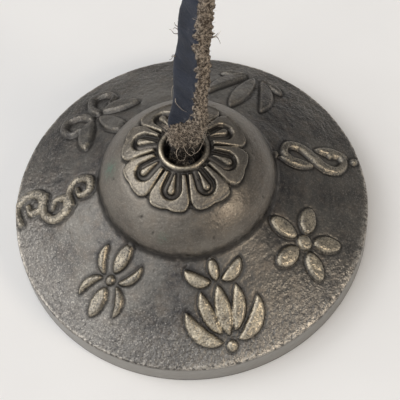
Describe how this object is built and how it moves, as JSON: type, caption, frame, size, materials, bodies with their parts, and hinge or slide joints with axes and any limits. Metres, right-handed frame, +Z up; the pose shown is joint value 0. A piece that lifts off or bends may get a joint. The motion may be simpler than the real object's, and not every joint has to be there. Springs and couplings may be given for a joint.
{
  "type": "hand cymbal bell",
  "caption": "Cast bronze hand cymbal bell with a domed centre, petal rosette and raised leaf and scroll ornament, on a knotted flat leather thong with a finger loop.",
  "frame": {"origin": "centre of the circle that the rim rests on, on the bell's axis", "axes": "+Z up the bell's axis through its hole, -Y towards the viewer, +X to the right"},
  "size_m": [0.065, 0.065, 0.1158],
  "materials": {
    "cast_bronze": "cast, dark patina, worn on the relief",
    "raw_leather": "rough suede",
    "dyed_leather": "smooth dyed grain"
  },
  "bodies": {
    "bell": {"bell": "cast_bronze"},
    "knot": {"stopper_knot": "raw_leather", "knot_tail": "raw_leather"},
    "neck": {"thong_neck": "raw_leather"},
    "upper_thong": {"thong": "dyed_leather", "loop_knot": "dyed_leather", "loop_tail": "dyed_leather", "finger_loop": "dyed_leather"}
  },
  "joints": [
    {"name": "thong_slide", "type": "slide", "parent": "bell", "child": "knot", "axis": [0, 0, 1], "range_m": [-0.004, 0]},
    {"name": "thong_twist", "type": "hinge", "parent": "knot", "child": "neck", "pos_m": [0, 0, 0.021], "axis": [0, 0, 1], "range_deg": [-120, 120]},
    {"name": "thong_bend", "type": "hinge", "parent": "neck", "child": "upper_thong", "pos_m": [0, 0, 0.0302], "axis": [1, 0, 0], "range_deg": [-55, 55]}
  ]
}
